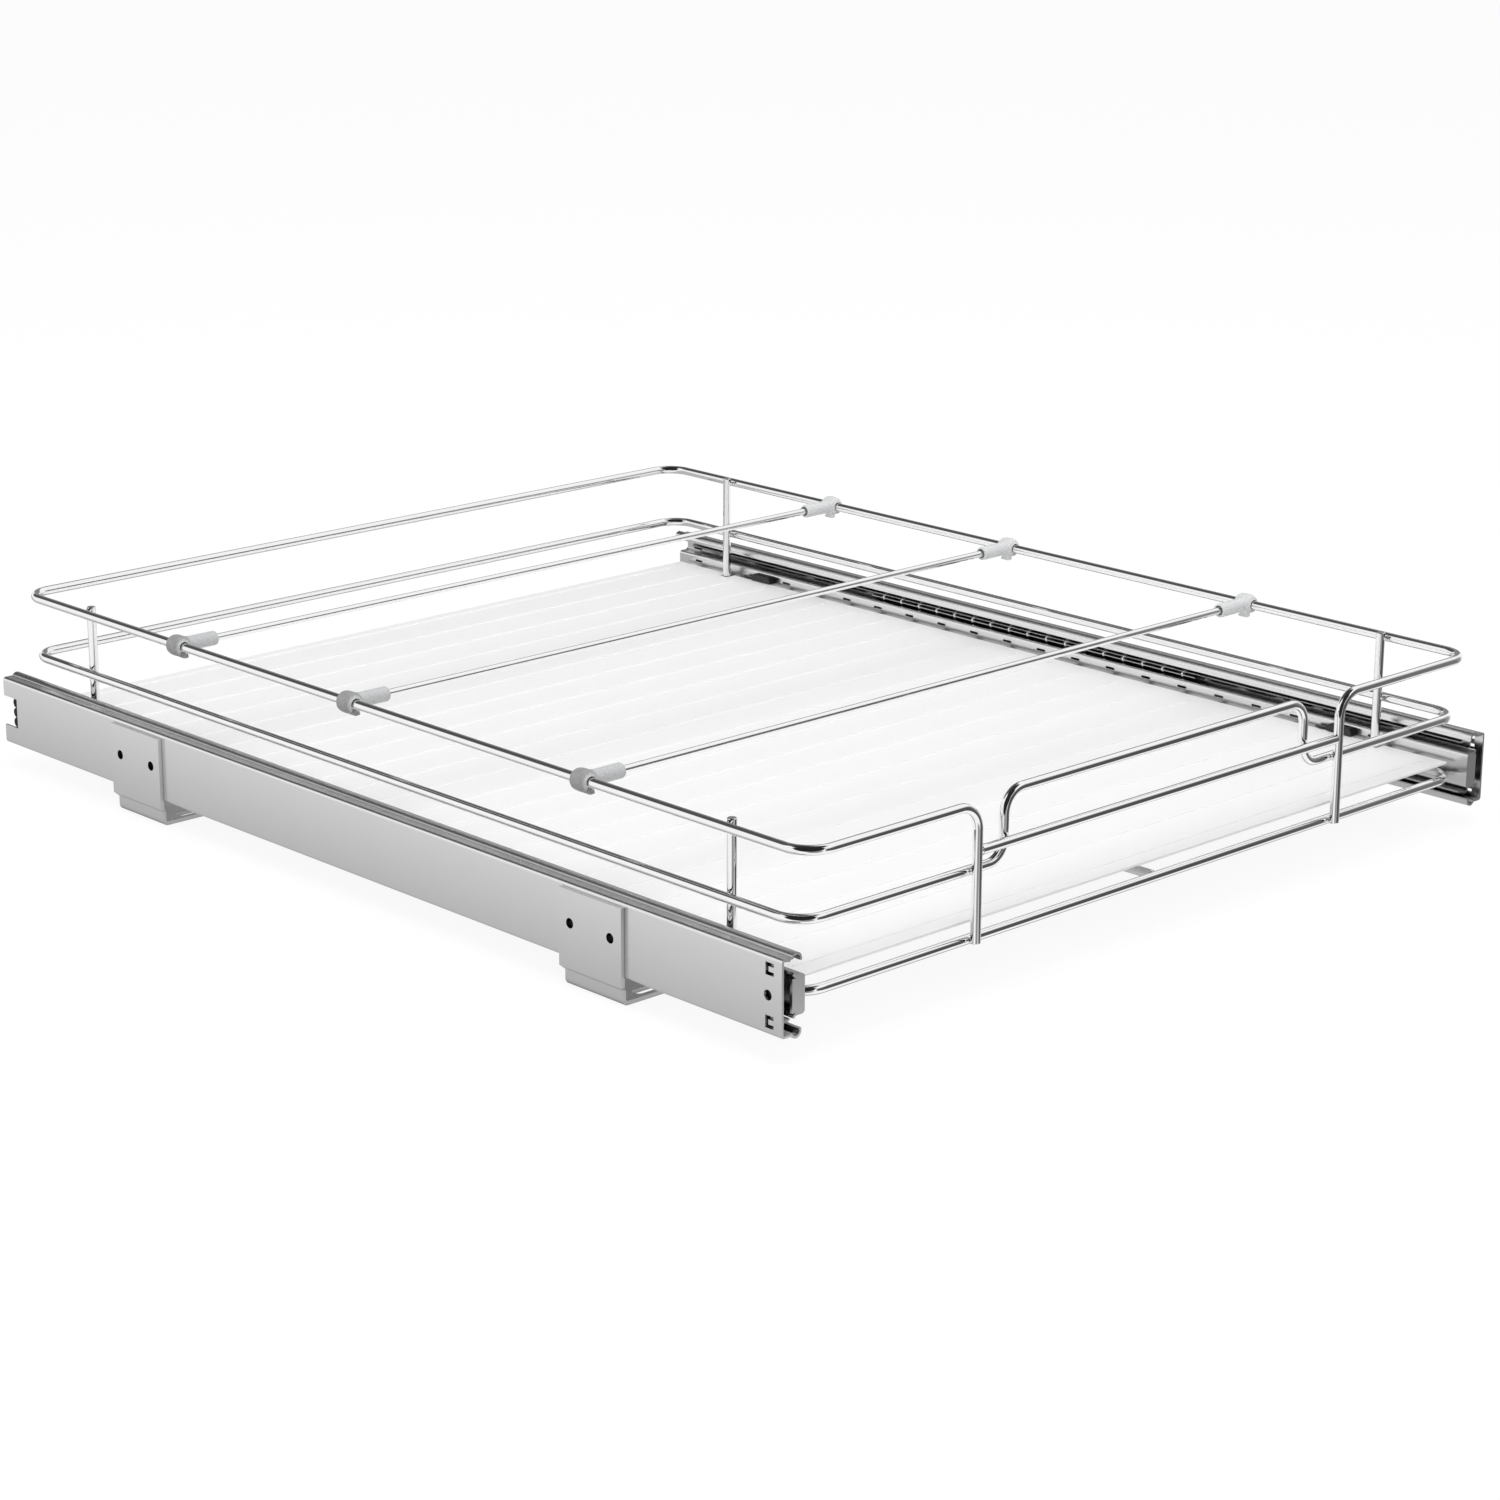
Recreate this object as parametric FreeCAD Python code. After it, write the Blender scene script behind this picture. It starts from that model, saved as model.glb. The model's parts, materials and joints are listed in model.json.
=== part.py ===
import FreeCAD, Part
import math
import os

# A pull-out wire basket for a kitchen cabinet, on two ball-bearing slides.
# X runs across the cabinet, -Y is the way the basket pulls out, Z is up. The origin is on the cabinet
# floor, at the centre of the footprint, and every size is in millimetres.

V = FreeCAD.Vector

# Slides
slide_length = 560.0
slide_span = 464.0            # over the outer faces of the two slides
inner_member_height = 17.0
outer_sheet = 1.1
middle_sheet = 1.0
inner_sheet = 1.2
cage_sheet = 0.4
ball_diameter = 3.2
race_clearance = 0.3          # ball to race, so that the rows run free
running_gap = 0.3             # between a ball cage and the members on each side of it
channel_slack = 2.0           # free depth between the inner cage's web and the inner member's curl
ball_row_stagger = 0.6        # the outer row of balls sits this much nearer the cabinet wall
ball_pitch = 13.3
balls_per_row = 17
cage_length = 230.0
cage_rear_gap = 160.0         # from the slide's rear end to the rear end of the cages, basket shut
middle_end_gap_front = 6.0
middle_end_gap_rear = 14.0
inner_end_gap_rear = 6.0
sheet_bend = 1.5              # outside radius of the rolled corners
outer_race_end = 165.0        # degrees round a ball, where the outer member's race meets its web
middle_race_start = 190.0     # degrees, where the middle member's race for the outer balls begins

# Holes and notches in the slides
web_hole_diameter = 4.5
web_hole_setback = 8.0        # from the front end
window_length = 4.8
window_height = 5.4
window_setback = 7.0
window_offset = 11.2          # above and below the middle of the slide
window_tab_length = 3.0       # the tongue left standing in each window, from its front side
window_tab_height = 2.2
rear_corner_round = 2.5       # the lower rear corner of the outer member
rear_notch_depth = 11.3
rear_notch_height = 15.0
rear_hole_diameter = 3.0
rear_hole_setback = 6.0
ventilation_slot_length = 6.0
ventilation_slot_height = 1.2
ventilation_slot_lift = 1.8   # above the liner

# Rubber stops at the rear of the slides
stop_depth = 3.2
stop_length = 4.0
stop_height = 24.0
stop_gap = 1.0                # behind the middle member
stop_lobe_pitch = 5.0

# Brackets
bracket_sheet = 2.0
bracket_width = 39.4
bracket_top_drop = 3.5        # below the top of the slide
front_bracket_distance = 113.0  # from the slide's front end to the middle of the front bracket
rear_bracket_distance = 117.0   # from its rear end to the middle of the rear bracket
bracket_flange_inset = 1.5    # the flange is this much narrower than the plate, on each side
side_hole_diameter = 4.5
side_hole_spacing = 25.4
joggle_gap = 2.0              # below the slide, where the plate steps in
foot_drop = 11.0              # from the slide's lower edge to the cabinet floor
foot_reach = 40.0
foot_slot_length = 20.0
foot_slot_width = 5.5
foot_bend = 3.0

# Wire basket
rail_wire = 4.4
cross_wire = 3.0
rail_end_inset = 1.0          # middle of the rail's wire inside the end of the slide
bottom_frame_drop = 3.2       # below the middle of the slide
mid_rail_rise = 30.2          # the rises are above the bottom frame, wire middle to wire middle
front_bar_rise = 39.5
top_rail_rise = 60.0
rail_bend = 13.0              # bends are measured at the middle of the wire
post_bend = 11.0
jog_bend = 10.0
jog_bend_share = 0.45         # the most of the jog's height that one of its bends takes
post_span = 239.2             # between the middles of the two front posts
post_end_drop = 0.8           # of their lower ends below the middle of the bottom frame
jog_inset = 20.6              # from a post to the raised part of the mid rail
upright_overrun = 3.0         # of the uprights above the middle of the top rail
upright_clearance = 2.5       # from an upright to the cross wire behind it
cross_wire_pitch = 24.1
first_cross_wire = 26.1       # behind the front wire of the bottom frame
cross_wire_margin = 15.0      # least distance from the last cross wire to the rear wire
cross_wire_end_gap = 1.0      # to the inner members

# Liner and the clips that hold the basket to the inner members
liner_thickness = 1.3
liner_side_gap = 3.3          # to the inner members
liner_front_gap = 1.8         # to the front wire of the bottom frame
liner_rear_gap = 3.0          # to the rear wire
liner_notch_gap = 0.8         # round each upright
liner_rib_pitch = 23.85
liner_rib_width = 2.0
liner_rib_height = 0.5
first_liner_rib = 9.2         # behind the liner's front edge
liner_rib_end_gap = 8.0
clip_length = 24.0
clip_depth = 4.5
clip_height = 3.9
clip_lift = 0.2               # above the liner
clip_point_length = 6.0       # the slanted rear end
front_clip_distance = 27.8    # behind the front upright
rear_clip_distance = 21.1     # in front of the rear upright

# Dividers, measured back from the front end of the slides with the basket shut
divider_wire = 3.5
front_divider_place = 135.4
middle_divider_place = 295.4
rear_divider_place = 427.5
divider_head_diameter = 10.2
divider_head_length = 10.0
divider_sleeve_diameter = 7.5
divider_sleeve_reach = 21.2   # from the middle of the rail
divider_bore_gap = 0.25       # between the head and the rail
divider_socket_gap = 0.05     # between the sleeve and the divider's wire
divider_wire_end_gap = 3.0    # from the rail to the end of the divider's wire
divider_lip_diameter = 3.2
divider_lip_length = 6.0
divider_lip_gap = 0.6         # from the head's bore to the lip
divider_mouth_share = 0.75    # width of the head's mouth over the rail's wire
divider_mouth_angle = 55.0    # degrees below level, towards the basket

# Worked out: the slide's cross-section, with s measured in from its outer face and z from its middle
race_radius = ball_diameter / 2 + race_clearance
curl_start = 205.0            # degrees, where the inner member's curl ends beside the ball
outer_lip_angle = -20.0       # degrees, where the outer member's race ends, below a ball's middle
inner_lip_angle = 45.0        # degrees, where the middle member's inner race ends, above it
outer_cage_s = outer_sheet + running_gap
middle_web_s = outer_cage_s + cage_sheet + running_gap
inner_cage_s = middle_web_s + middle_sheet + running_gap
curl_reach = (race_radius + inner_sheet) * math.cos(math.radians(curl_start - 180.0))
inner_ball_s = inner_cage_s + cage_sheet + channel_slack + curl_reach
outer_ball_s = inner_ball_s - ball_row_stagger
inner_web_s = inner_ball_s + race_radius + middle_sheet
slide_thickness = inner_web_s + inner_sheet
inner_half_height = inner_member_height / 2
inner_ball_z = inner_half_height + race_radius
outer_ball_z = inner_ball_z + race_radius + middle_sheet + race_radius
slide_height = 2 * (outer_ball_z + race_radius + outer_sheet)
outer_flange_z = outer_ball_z + cage_sheet / 2 + running_gap
middle_flange_z = outer_ball_z - cage_sheet / 2 - running_gap - middle_sheet
middle_bridge_z = outer_ball_z - race_radius - middle_sheet

# Worked out: places in the whole object
past = 1.0                    # how far a cutter runs beyond the piece it cuts
front_end = -slide_length / 2
rear_end = slide_length / 2
slide_mid_z = foot_drop + slide_height / 2
inner_face_x = slide_span / 2 - slide_thickness
rail_radius = rail_wire / 2
rail_x = inner_face_x - rail_radius
front_plane = front_end + rail_end_inset
rear_plane = rear_end - rail_end_inset
front_loop_y = front_plane + rail_wire
rear_loop_y = rear_plane - rail_wire
bottom_frame_z = slide_mid_z - bottom_frame_drop
mid_rail_z = bottom_frame_z + mid_rail_rise
front_bar_z = bottom_frame_z + front_bar_rise
top_rail_z = bottom_frame_z + top_rail_rise
post_x = post_span / 2
jog_x = post_x - jog_inset
cross_wire_z = bottom_frame_z + rail_radius + cross_wire / 2
liner_bottom = cross_wire_z + cross_wire / 2
liner_top = liner_bottom + liner_thickness
first_cross_y = front_loop_y + first_cross_wire
cross_wire_steps = int((rear_loop_y - cross_wire_margin - first_cross_y) / cross_wire_pitch)
cross_wire_places = [first_cross_y + step * cross_wire_pitch for step in range(cross_wire_steps + 1)]
upright_x = rail_x - rail_wire
upright_offset = rail_radius + cross_wire / 2 + upright_clearance
front_upright_y = cross_wire_places[1] - upright_offset
rear_upright_y = cross_wire_places[-2] - upright_offset


def box(x0, x1, y0, y1, z0, z1):
    return Part.makeBox(x1 - x0, y1 - y0, z1 - z0, V(x0, y0, z0))


def rod(start, end, diameter):
    way = end.sub(start)
    return Part.makeCylinder(diameter / 2, way.Length, start, way)


def mirrored(shape):
    """The same piece on the right-hand side."""
    return shape.mirror(V(0, 0, 0), V(1, 0, 0))


def joined(solids):
    """One clean solid out of pieces that overlap."""
    return solids[0].multiFuse(solids[1:]).removeSplitter().Solids[0]


def flat(points):
    """A flat face with straight edges."""
    return Part.Face(Part.makePolygon(points + [points[0]]))


def rounded_long_edges(solid, places, radius):
    """Round the edges that run along Y through the given (x, z) places."""
    edges = []
    for edge in solid.Edges:
        start, end = edge.firstVertex().Point, edge.lastVertex().Point
        along_y = abs(end.y - start.y) > 1.0 and abs(end.x - start.x) + abs(end.z - start.z) < 1e-4
        near = any(abs(start.x - x) + abs(start.z - z) < 1e-3 for x, z in places)
        if along_y and near:
            edges.append(edge)
    return solid.makeFillet(radius, edges)


def bent_wire(corners, bends, diameter, closed=False):
    """A round wire with straight runs and a bend of a given radius at each turn."""
    if closed:
        middle = (corners[-1] + corners[0]) * 0.5
        turns = list(corners)
        stops = [middle] + turns + [middle]
    else:
        turns = corners[1:-1]
        stops = list(corners)
    edges = []
    here = stops[0]
    for index, radius in enumerate(bends):
        before, turn, after = stops[index], stops[index + 1], stops[index + 2]
        way_in = (turn - before).normalize()
        way_out = (after - turn).normalize()
        angle = way_in.getAngle(way_out)
        run_out = radius * math.tan(angle / 2)
        start = turn - way_in * run_out
        end = turn + way_out * run_out
        to_centre = (way_out - way_in).normalize()
        centre = turn + to_centre * (radius / math.cos(angle / 2))
        edges.append(Part.makeLine(here, start))
        edges.append(Part.Arc(start, centre - to_centre * radius, end).toShape())
        here = end
    edges.append(Part.makeLine(here, stops[-1]))
    first_way = stops[1] - stops[0]
    circle = Part.Wire([Part.makeCircle(diameter / 2, stops[0], first_way)])
    return Part.Wire(edges).makePipeShell([circle], True, False)


# The slide's cross-section is drawn at y = 0 with x as s, then pushed along Y.

def strip(s0, s1, z0, z1):
    return flat([V(s0, 0, z0), V(s1, 0, z0), V(s1, 0, z1), V(s0, 0, z1)])


def race(s, z, inside, outside, from_angle, to_angle):
    """Part of a ring round a row of balls, between two angles in degrees."""
    def point(radius, angle):
        return V(s + radius * math.cos(math.radians(angle)), 0, z + radius * math.sin(math.radians(angle)))
    half_way = (from_angle + to_angle) / 2
    outer_arc = Part.Arc(point(outside, from_angle), point(outside, half_way), point(outside, to_angle))
    inner_arc = Part.Arc(point(inside, to_angle), point(inside, half_way), point(inside, from_angle))
    sides = [Part.makeLine(point(outside, to_angle), point(inside, to_angle)),
             Part.makeLine(point(inside, from_angle), point(outside, from_angle))]
    return Part.Face(Part.Wire([outer_arc.toShape(), sides[0], inner_arc.toShape(), sides[1]]))


def member(faces, clear_rows, start, end, bends):
    """A rolled slide member: half of its section, the same below, and its length along Y."""
    length = end - start
    halves = faces + [face.mirror(V(0, 0, 0), V(0, 0, 1)) for face in faces]
    solid = joined([face.extrude(V(0, length, 0)) for face in halves])
    for s, z in clear_rows:
        for row_z in (z, -z):
            solid = solid.cut(Part.makeCylinder(race_radius, length, V(s, 0, row_z), V(0, 1, 0)))
    both = bends + [(s, -z) for s, z in bends]
    solid = rounded_long_edges(solid.Solids[0], both, sheet_bend)
    solid.translate(V(-slide_span / 2, start, slide_mid_z))
    return solid


def web_hole(diameter, y, z):
    """A round cutter through the webs of the left slide."""
    reach = slide_thickness + bracket_sheet * 2
    return Part.makeCylinder(diameter / 2, reach, V(-slide_span / 2 - bracket_sheet, y, z), V(1, 0, 0))


def side_hole_cutters(y):
    places = [y - side_hole_spacing / 2, y + side_hole_spacing / 2]
    return [web_hole(side_hole_diameter, place, slide_mid_z) for place in places]


bracket_places = {"front": front_end + front_bracket_distance, "rear": rear_end - rear_bracket_distance}


def left_outer_member():
    flange_top = outer_flange_z + outer_sheet
    faces = [
        strip(0, outer_sheet, 0, flange_top),
        strip(0, outer_ball_s, outer_flange_z, flange_top),
        race(outer_ball_s, outer_ball_z, race_radius, race_radius + outer_sheet,
             outer_lip_angle, outer_race_end),
    ]
    solid = member(faces, [(outer_ball_s, outer_ball_z)], front_end, rear_end, [(0, flange_top)])
    outside = -slide_span / 2
    cutters = [web_hole(web_hole_diameter, front_end + web_hole_setback, slide_mid_z)]
    for side in (-1, 1):
        z = slide_mid_z + side * window_offset
        y = front_end + window_setback
        window_front = y - window_length / 2
        window = box(outside - past, outside + outer_sheet, window_front, window_front + window_length,
                     z - window_height / 2, z + window_height / 2)
        tongue = box(outside - past, outside + outer_sheet, window_front, window_front + window_tab_length,
                     z - window_tab_height / 2, z + window_tab_height / 2)
        cutters.append(window.cut(tongue))
    cutters.append(box(outside - past, outside + outer_sheet, rear_end - rear_notch_depth, rear_end + past,
                       slide_mid_z - rear_notch_height / 2, slide_mid_z + rear_notch_height / 2))
    low = slide_mid_z - slide_height / 2
    corner = box(outside - past, outside + slide_thickness, rear_end - rear_corner_round, rear_end + past,
                 low - past, low + rear_corner_round)
    rounding = Part.makeCylinder(rear_corner_round, slide_thickness + past,
                                 V(outside - past, rear_end - rear_corner_round, low + rear_corner_round),
                                 V(1, 0, 0))
    cutters.append(corner.cut(rounding))
    for place in bracket_places.values():
        cutters.extend(side_hole_cutters(place))
    return solid.cut(cutters).Solids[0]


def left_middle_member():
    web_inside = middle_web_s + middle_sheet
    race_outside = race_radius + middle_sheet
    flange_top = middle_flange_z + middle_sheet
    faces = [
        strip(middle_web_s, web_inside, 0, flange_top),
        strip(middle_web_s, outer_ball_s, middle_flange_z, flange_top),
        race(outer_ball_s, outer_ball_z, race_radius, race_outside, middle_race_start, 270.0),
        strip(outer_ball_s, inner_ball_s, middle_bridge_z, middle_bridge_z + middle_sheet),
        race(inner_ball_s, inner_ball_z, race_radius, race_outside, inner_lip_angle, 90.0),
    ]
    rows = [(outer_ball_s, outer_ball_z)]
    return member(faces, rows, front_end + middle_end_gap_front, rear_end - middle_end_gap_rear,
                  [(middle_web_s, flange_top)])


def left_inner_member():
    flange_low = inner_half_height - inner_sheet
    faces = [
        strip(inner_web_s, slide_thickness, 0, inner_half_height),
        strip(inner_ball_s, slide_thickness, flange_low, inner_half_height),
        race(inner_ball_s, inner_ball_z, race_radius, race_radius + inner_sheet, curl_start, 270.0),
    ]
    solid = member(faces, [], front_end, rear_end - inner_end_gap_rear,
                   [(slide_thickness, inner_half_height)])
    tab_s = inner_ball_s - curl_reach
    tab = box(-slide_span / 2 + tab_s, -slide_span / 2 + inner_web_s, front_end, front_end + inner_sheet,
              slide_mid_z - flange_low, slide_mid_z + flange_low)
    rear = rear_end - inner_end_gap_rear
    cutters = [web_hole(rear_hole_diameter, rear - rear_hole_setback, slide_mid_z)]
    straight = (ventilation_slot_length - ventilation_slot_height) / 2
    z = liner_top + ventilation_slot_lift
    web_s = -slide_span / 2 + inner_web_s
    for y in cross_wire_places[1:]:
        for end in (-straight, straight):
            cutters.append(Part.makeCylinder(ventilation_slot_height / 2, inner_sheet, V(web_s, y + end, z),
                                             V(1, 0, 0)))
        cutters.append(box(web_s, web_s + inner_sheet, y - straight, y + straight,
                           z - ventilation_slot_height / 2, z + ventilation_slot_height / 2))
    return joined([solid, tab]).cut(cutters).Solids[0]


def ball_places():
    """Where the balls of a row lie along Y, basket shut."""
    middle = rear_end - cage_rear_gap - cage_length / 2
    first = middle - (balls_per_row - 1) * ball_pitch / 2
    return [first + index * ball_pitch for index in range(balls_per_row)]


def left_ball_cage(web_s, ball_s, ball_z):
    """A folded strip behind two rows of balls, with a pocket for each ball."""
    end = rear_end - cage_rear_gap
    start = end - cage_length
    half = ball_z + cage_sheet / 2
    flange_end = ball_s + race_radius - running_gap
    outside = -slide_span / 2
    low, high = slide_mid_z - half, slide_mid_z + half
    solid = joined([
        box(outside + web_s, outside + web_s + cage_sheet, start, end, low, high),
        box(outside + web_s, outside + flange_end, start, end, high - cage_sheet, high),
        box(outside + web_s, outside + flange_end, start, end, low, low + cage_sheet),
    ])
    pocket = ball_diameter / 2 + race_clearance / 2
    cutters = []
    for y in ball_places():
        for row in (-1, 1):
            z = slide_mid_z + row * ball_z - cage_sheet
            cutters.append(Part.makeCylinder(pocket, 2 * cage_sheet, V(outside + ball_s, y, z)))
    return solid.cut(cutters)


def left_balls(ball_s, ball_z):
    x = -slide_span / 2 + ball_s
    spheres = []
    for y in ball_places():
        for row in (-1, 1):
            spheres.append(Part.makeSphere(ball_diameter / 2, V(x, y, slide_mid_z + row * ball_z)))
    return Part.makeCompound(spheres)


def left_rear_stop():
    """The rubber block that the middle member meets when the basket is shut."""
    outside = -slide_span / 2 + outer_sheet
    front = rear_end - middle_end_gap_rear + stop_gap
    half = stop_height / 2
    pieces = [box(outside, outside + stop_depth, front, front + stop_length,
                  slide_mid_z - half, slide_mid_z + half)]
    for step in (-1, 0, 1):
        z = slide_mid_z + step * stop_lobe_pitch
        pieces.append(Part.makeCylinder(stop_lobe_pitch / 2, stop_depth, V(outside, front + stop_length, z),
                                        V(1, 0, 0)))
    return joined(pieces)


def left_bracket(y):
    """A plate on the slide's outer face that steps in below it and turns into a foot."""
    outside = -slide_span / 2
    half = bracket_width / 2
    top = foot_drop + slide_height - bracket_top_drop
    step_top = foot_drop - joggle_gap
    step_low = step_top - bracket_sheet
    section = flat([
        V(outside - bracket_sheet, y - half, top),
        V(outside, y - half, top),
        V(outside, y - half, step_top),
        V(outside + bracket_sheet, y - half, step_low),
        V(outside + bracket_sheet, y - half, bracket_sheet),
        V(outside + foot_reach, y - half, bracket_sheet),
        V(outside + foot_reach, y - half, 0),
        V(outside, y - half, 0),
        V(outside, y - half, step_low),
        V(outside - bracket_sheet, y - half, step_top),
    ])
    bent = section.extrude(V(0, bracket_width, 0))
    bent = rounded_long_edges(bent, [(outside, 0)], foot_bend)
    bent = rounded_long_edges(bent, [(outside + bracket_sheet, bracket_sheet)], foot_bend - bracket_sheet)
    narrow = half - bracket_flange_inset
    outline = flat([
        V(outside - bracket_sheet, y - half, top),
        V(outside - bracket_sheet, y + half, top),
        V(outside - bracket_sheet, y + half, step_top),
        V(outside - bracket_sheet, y + narrow, step_low),
        V(outside - bracket_sheet, y + narrow, 0),
        V(outside - bracket_sheet, y - narrow, 0),
        V(outside - bracket_sheet, y - narrow, step_low),
        V(outside - bracket_sheet, y - half, step_top),
    ])
    bent = bent.common(outline.extrude(V(foot_reach + bracket_sheet, 0, 0)))
    cutters = side_hole_cutters(y)
    slot_middle = outside + bracket_sheet + (foot_reach - bracket_sheet) / 2
    straight = (foot_slot_length - foot_slot_width) / 2
    for side in (-1, 1):
        slot_y = y + side * side_hole_spacing / 2
        for end in (-straight, straight):
            cutters.append(Part.makeCylinder(foot_slot_width / 2, bracket_sheet, V(slot_middle + end, slot_y, 0)))
        cutters.append(box(slot_middle - straight, slot_middle + straight, slot_y - foot_slot_width / 2,
                           slot_y + foot_slot_width / 2, 0, bracket_sheet))
    return bent.cut(cutters).Solids[0]


def bottom_frame():
    z = bottom_frame_z
    corners = [V(-rail_x, front_loop_y, z), V(-rail_x, rear_loop_y, z),
               V(rail_x, rear_loop_y, z), V(rail_x, front_loop_y, z)]
    return bent_wire(corners, [rail_bend] * 4, rail_wire, closed=True)


def mid_rail():
    """The middle hoop, whose front is raised between the posts to the height of the top rail."""
    low, high = mid_rail_z, top_rail_z
    bend = min(jog_bend, jog_bend_share * (high - low))
    corners = [
        V(-rail_x, rear_loop_y, low),
        V(-rail_x, front_loop_y, low),
        V(-jog_x, front_loop_y, low),
        V(-jog_x, front_loop_y, high),
        V(jog_x, front_loop_y, high),
        V(jog_x, front_loop_y, low),
        V(rail_x, front_loop_y, low),
        V(rail_x, rear_loop_y, low),
    ]
    return bent_wire(corners, [rail_bend, rail_bend, bend, bend, bend, bend, rail_bend, rail_bend],
                     rail_wire, closed=True)


def top_rail():
    """The top rail, open at the front, with both ends bent down as posts."""
    foot = bottom_frame_z - post_end_drop
    corners = [
        V(-post_x, front_plane, foot),
        V(-post_x, front_plane, top_rail_z),
        V(-rail_x, front_plane, top_rail_z),
        V(-rail_x, rear_plane, top_rail_z),
        V(rail_x, rear_plane, top_rail_z),
        V(rail_x, front_plane, top_rail_z),
        V(post_x, front_plane, top_rail_z),
        V(post_x, front_plane, foot),
    ]
    return bent_wire(corners, [post_bend, rail_bend, rail_bend, rail_bend, rail_bend, post_bend], rail_wire)


def front_bar():
    """The bar between the posts, in front of the mid rail's raised part."""
    reach = post_x - rail_radius
    return rod(V(-reach, front_plane, front_bar_z), V(reach, front_plane, front_bar_z), rail_wire)


def upright(x, y):
    low = bottom_frame_z - rail_radius
    return rod(V(x, y, low), V(x, y, top_rail_z + upright_overrun), rail_wire)


def centre_stringer():
    start = V(0, front_loop_y + rail_radius, bottom_frame_z)
    end = V(0, rear_loop_y - rail_radius, bottom_frame_z)
    return rod(start, end, rail_wire)


def cross_wires():
    reach = inner_face_x - cross_wire_end_gap
    rods = [rod(V(-reach, y, cross_wire_z), V(reach, y, cross_wire_z), cross_wire) for y in cross_wire_places]
    return Part.makeCompound(rods)


def liner():
    """The ribbed plastic sheet on the cross wires, notched round the uprights."""
    half = inner_face_x - liner_side_gap
    front = front_loop_y + rail_radius + liner_front_gap
    rear = rear_loop_y - rail_radius - liner_rear_gap
    sheet = box(-half, half, front, rear, liner_bottom, liner_top)
    notch = rail_radius + liner_notch_gap
    cutters = []
    for y in (front_upright_y, rear_upright_y):
        for side in (-1, 1):
            inside = side * (upright_x - notch)
            outside = side * (half + past)
            cutters.append(box(min(inside, outside), max(inside, outside), y - notch, y + notch,
                               liner_bottom, liner_top))
    sheet = sheet.cut(cutters)
    ribs = []
    steps = int((rear - front - first_liner_rib - liner_rib_width) / liner_rib_pitch)
    reach = half - liner_rib_end_gap
    root = (liner_bottom + liner_top) / 2
    for step in range(steps + 1):
        y = front + first_liner_rib + step * liner_rib_pitch
        ribs.append(box(-reach, reach, y - liner_rib_width / 2, y + liner_rib_width / 2,
                        root, liner_top + liner_rib_height))
    return sheet.multiFuse(ribs).removeSplitter().Solids[0]


def left_basket_clip(y):
    """A small plastic catch on the inner member that overlaps the liner's edge, pointed at the rear."""
    face = -inner_face_x
    low = liner_top + clip_lift
    half = clip_length / 2
    plan = flat([
        V(face, y - half, low),
        V(face + clip_depth, y - half, low),
        V(face + clip_depth, y + half - clip_point_length, low),
        V(face, y + half, low),
    ])
    return plan.extrude(V(0, 0, clip_height))


def divider_wire_rod(y):
    reach = rail_x - rail_radius - divider_wire_end_gap
    return rod(V(-reach, y, top_rail_z), V(reach, y, top_rail_z), divider_wire)


def left_divider_clip(y):
    """A plastic head that snaps over the top rail from above, with a sleeve for the divider's wire."""
    centre = V(-rail_x, y, top_rail_z)
    head_radius = divider_head_diameter / 2
    bore = rail_radius + divider_bore_gap
    half = divider_head_length / 2
    head = Part.makeCylinder(head_radius, divider_head_length, centre - V(0, half, 0), V(0, 1, 0))
    head = head.makeFillet((head_radius - bore) / 2, [edge for edge in head.Edges if edge.Closed])
    sleeve = Part.makeCylinder(divider_sleeve_diameter / 2, divider_sleeve_reach, centre, V(1, 0, 0))
    lip_radius = divider_lip_diameter / 2
    lip_start = centre - V(0, divider_lip_length / 2, bore + divider_lip_gap + lip_radius)
    lip = Part.makeCylinder(lip_radius, divider_lip_length, lip_start, V(0, 1, 0))
    solid = joined([head, sleeve, lip])
    length = divider_head_length
    rail_bore = Part.makeCylinder(bore, 2 * length, centre - V(0, length, 0), V(0, 1, 0))
    mouth_width = rail_wire * divider_mouth_share
    mouth = box(0, head_radius * 2, -length, length, -mouth_width / 2, mouth_width / 2)
    mouth.rotate(V(0, 0, 0), V(0, 1, 0), divider_mouth_angle)
    mouth.translate(centre)
    socket_radius = divider_wire / 2 + divider_socket_gap
    socket = Part.makeCylinder(socket_radius, divider_sleeve_reach + past, centre, V(1, 0, 0))
    return solid.cut([rail_bore, mouth, socket]).Solids[0]


divider_places = {
    "front": front_end + front_divider_place,
    "middle": front_end + middle_divider_place,
    "rear": front_end + rear_divider_place,
}

left_nodes = {
    "outer_member": left_outer_member(),
    "middle_member": left_middle_member(),
    "inner_member": left_inner_member(),
    "outer_ball_cage": left_ball_cage(outer_cage_s, outer_ball_s, outer_ball_z),
    "outer_balls": left_balls(outer_ball_s, outer_ball_z),
    "inner_ball_cage": left_ball_cage(inner_cage_s, inner_ball_s, inner_ball_z),
    "inner_balls": left_balls(inner_ball_s, inner_ball_z),
    "rear_stop": left_rear_stop(),
    "front_basket_clip": left_basket_clip(front_upright_y + front_clip_distance),
    "rear_basket_clip": left_basket_clip(rear_upright_y - rear_clip_distance),
}
for place, y in bracket_places.items():
    left_nodes[place + "_bracket"] = left_bracket(y)
for place, y in divider_places.items():
    left_nodes[place + "_divider_clip"] = left_divider_clip(y)

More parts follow.
